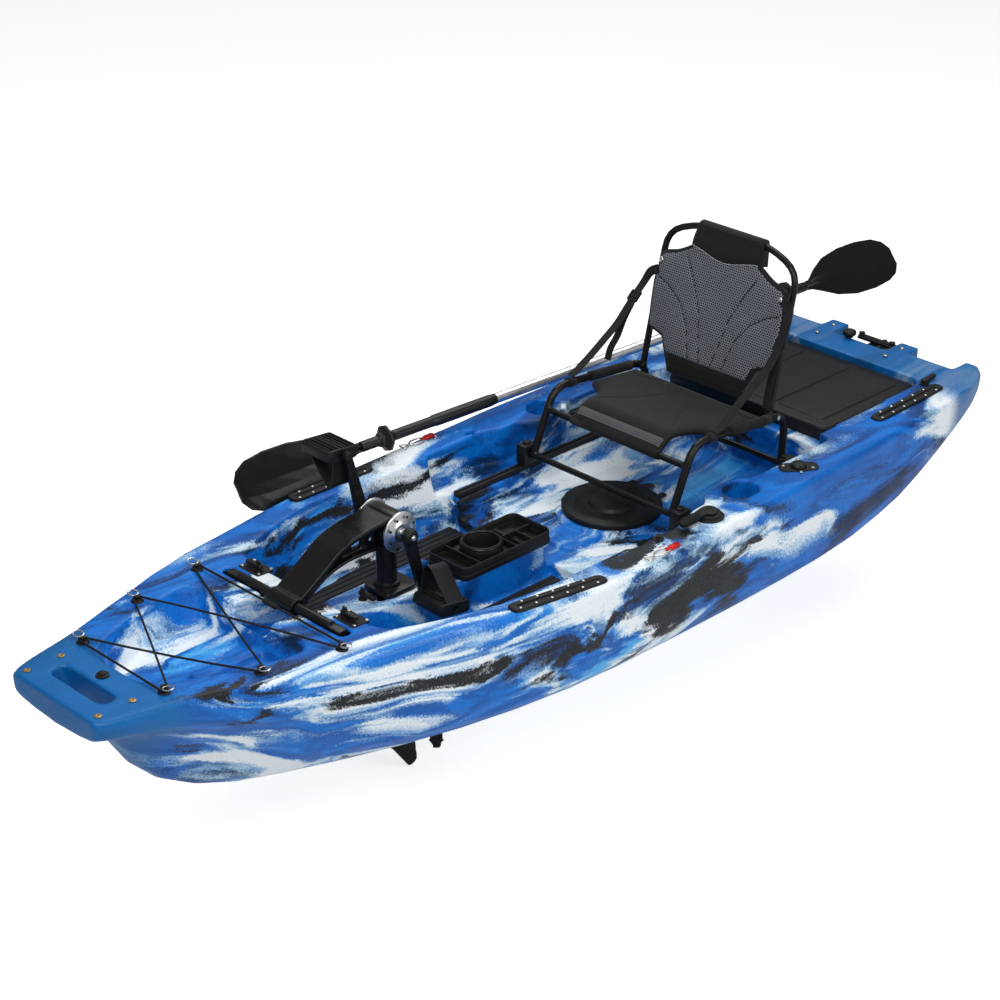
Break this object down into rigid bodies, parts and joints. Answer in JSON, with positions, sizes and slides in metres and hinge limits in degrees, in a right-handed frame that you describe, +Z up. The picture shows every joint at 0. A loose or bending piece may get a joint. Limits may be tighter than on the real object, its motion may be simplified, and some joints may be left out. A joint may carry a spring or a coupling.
{
  "type": "pedal kayak",
  "caption": "Sit-on-top kayak with a lift-out pedal drive and propeller, sliding folding seat, hatches, deck tracks, steered lifting rudder and paddle.",
  "frame": {"origin": "on the flat run of the keel, on the centreline, amidships between the bow and the stern", "axes": "+X to port, +Y astern with the bow at -Y, +Z up"},
  "size_m": [0.9791, 3.2154, 1.0889],
  "materials": {
    "hull_shell": "marbled polyethylene, satin",
    "black_moulding": "fine grained",
    "cord_rubber": "braided cover",
    "mat_rubber": "ribbed",
    "clip_red": "anodised",
    "black_paint": "satin powder coat",
    "flange_steel": "brushed",
    "gear_steel": "ground",
    "seat_mesh": "open weave over foam",
    "strap_web": "woven",
    "paddle_alloy": "brushed",
    "paddle_blade": "smooth"
  },
  "bodies": {
    "hull": {"hull": "hull_shell", "front_track_port": "black_moulding", "front_track_starboard": "black_moulding", "rear_track_port": "black_moulding", "rear_track_starboard": "black_moulding", "pad_eye_port_1": "black_moulding", "pad_eye_port_2": "black_moulding", "pad_eye_port_3": "black_moulding", "pad_eye_starboard_1": "black_moulding", "pad_eye_starboard_2": "black_moulding", "pad_eye_starboard_3": "black_moulding", "bungee_cord": "cord_rubber", "floor_mat_port": "mat_rubber", "floor_mat_starboard": "mat_rubber", "console_tray": "black_moulding", "cup_holder": "black_moulding", "seat_rail_port": "black_moulding", "seat_rail_starboard": "black_moulding", "steering_dial": "black_moulding", "rod_holder_port": "black_moulding", "deck_eyelet_port": "black_moulding", "safety_clip_port": "clip_red", "safety_clip_starboard": "clip_red", "rudder_bracket": "black_paint"},
    "drain_plug": {"bow_drain_plug": "black_moulding"},
    "floor_lid": {"floor_hatch_lid": "black_moulding"},
    "rear_lid": {"rear_hatch_lid": "black_moulding"},
    "rear_hook": {"rear_hatch_hook": "black_moulding"},
    "steering": {"steering_lever": "black_moulding"},
    "rod_cap": {"rod_holder_cap": "black_moulding"},
    "drive": {"drive_crossbar": "black_paint", "drive_arch": "black_paint", "crank_housing": "black_paint", "crank_flange_port": "flange_steel", "crank_flange_starboard": "flange_steel", "drive_leg": "black_paint", "lower_unit": "black_paint"},
    "cranks": {"crank_axle": "gear_steel", "crank_port": "black_paint", "crank_starboard": "black_paint"},
    "pedal_port": {"pedal_port": "black_moulding"},
    "pedal_starboard": {"pedal_starboard": "black_moulding"},
    "vertical_shaft": {"vertical_shaft": "gear_steel"},
    "propeller": {"propeller": "black_moulding"},
    "latch_port": {"drive_latch_port": "black_moulding"},
    "latch_starboard": {"drive_latch_starboard": "black_moulding"},
    "latch_rear": {"drive_latch_rear": "black_moulding"},
    "seat": {"seat_frame": "black_paint", "seat_clamp_port": "black_moulding", "seat_clamp_starboard": "black_moulding", "seat_panel": "seat_mesh", "back_strap_port": "strap_web", "back_strap_starboard": "strap_web"},
    "backrest": {"back_hoop": "black_paint", "back_panel": "seat_mesh"},
    "rudder": {"rudder_head": "black_paint"},
    "rudder_blade": {"rudder_blade": "black_moulding"},
    "paddle": {"paddle_shaft": "paddle_alloy", "paddle_blade_front": "paddle_blade", "paddle_blade_rear": "paddle_blade"}
  },
  "joints": [
    {"name": "drain_plug_turn", "type": "hinge", "parent": "hull", "child": "drain_plug", "pos_m": [0, -1.272, 0.3616], "axis": [0, 0.004, 1], "continuous": true},
    {"name": "drive_lift", "type": "slide", "parent": "hull", "child": "drive", "axis": [0, 0, 1], "range_m": [0, 0.65]},
    {"name": "crank_spin", "type": "hinge", "parent": "drive", "child": "cranks", "pos_m": [0, -0.468, 0.43], "axis": [1, 0, 0], "continuous": true},
    {"name": "pedal_port_spin", "type": "hinge", "parent": "cranks", "child": "pedal_port", "pos_m": [0, -0.42784, 0.26893], "axis": [1, 0, 0], "continuous": true},
    {"name": "pedal_starboard_spin", "type": "hinge", "parent": "cranks", "child": "pedal_starboard", "pos_m": [0, -0.50816, 0.59107], "axis": [1, 0, 0], "continuous": true},
    {"name": "vertical_shaft_spin", "type": "hinge", "parent": "drive", "child": "vertical_shaft", "pos_m": [0, -0.468, 0.15], "axis": [0, 0, 1], "continuous": true},
    {"name": "propeller_spin", "type": "hinge", "parent": "drive", "child": "propeller", "pos_m": [0, -0.318, -0.128], "axis": [0, 1, 0], "continuous": true},
    {"name": "drive_latch_port_turn", "type": "hinge", "parent": "hull", "child": "latch_port", "pos_m": [0.15, -0.726, 0.34854], "axis": [0, 0, 1], "range_deg": [0, 90]},
    {"name": "drive_latch_starboard_turn", "type": "hinge", "parent": "hull", "child": "latch_starboard", "pos_m": [-0.15, -0.726, 0.34854], "axis": [0, 0, 1], "range_deg": [-90, 0]},
    {"name": "drive_latch_rear_turn", "type": "hinge", "parent": "hull", "child": "latch_rear", "pos_m": [0, -0.543, 0.262], "axis": [0, 0, 1], "range_deg": [0, 90]},
    {"name": "seat_slide", "type": "slide", "parent": "hull", "child": "seat", "axis": [0, 1, 0], "range_m": [-0.18, 0.03]},
    {"name": "backrest_fold", "type": "hinge", "parent": "seat", "child": "backrest", "pos_m": [0, 0.65, 0.42183], "axis": [1, 0, 0], "range_deg": [0, 68], "deforming": ["back_strap_port", "back_strap_starboard"]},
    {"name": "steering_turn", "type": "hinge", "parent": "hull", "child": "steering", "pos_m": [0.379, 0.238, 0.33495], "axis": [0, -0.0305, 0.9995], "range_deg": [-30, 30]},
    {"name": "rudder_yaw", "type": "hinge", "parent": "hull", "child": "rudder", "pos_m": [0, 1.396, 0.288], "axis": [0, 0, 1], "range_deg": [-30, 30]},
    {"name": "rudder_blade_lift", "type": "hinge", "parent": "rudder", "child": "rudder_blade", "pos_m": [0, 1.436, 0.288], "axis": [1, 0, 0], "range_deg": [0, 100]},
    {"name": "floor_hatch_lid_lift", "type": "slide", "parent": "hull", "child": "floor_lid", "axis": [0, 0, 1], "range_m": [0, 0.035]},
    {"name": "rear_hatch_lid_hinge", "type": "hinge", "parent": "hull", "child": "rear_lid", "pos_m": [0, 0.816, 0.3473], "axis": [1, 0, 0], "range_deg": [0, 80]},
    {"name": "rear_hatch_hook_turn", "type": "hinge", "parent": "hull", "child": "rear_hook", "pos_m": [0.3, 1.208, 0.35509], "axis": [0, -0.0644, 0.9979], "range_deg": [0, 90]},
    {"name": "rod_cap_lift", "type": "slide", "parent": "hull", "child": "rod_cap", "axis": [0, -0.0134, 0.9999], "range_m": [0, 0.03]},
    {"name": "paddle_lift", "type": "slide", "parent": "hull", "child": "paddle", "axis": [0, 0, 1], "range_m": [0, 0.2]}
  ],
  "couplings": [
    {"joint": "vertical_shaft_spin", "follows": "crank_spin", "ratio": 3.1915},
    {"joint": "propeller_spin", "follows": "crank_spin", "ratio": 9},
    {"joint": "rudder_yaw", "follows": "steering_turn", "ratio": 1}
  ]
}
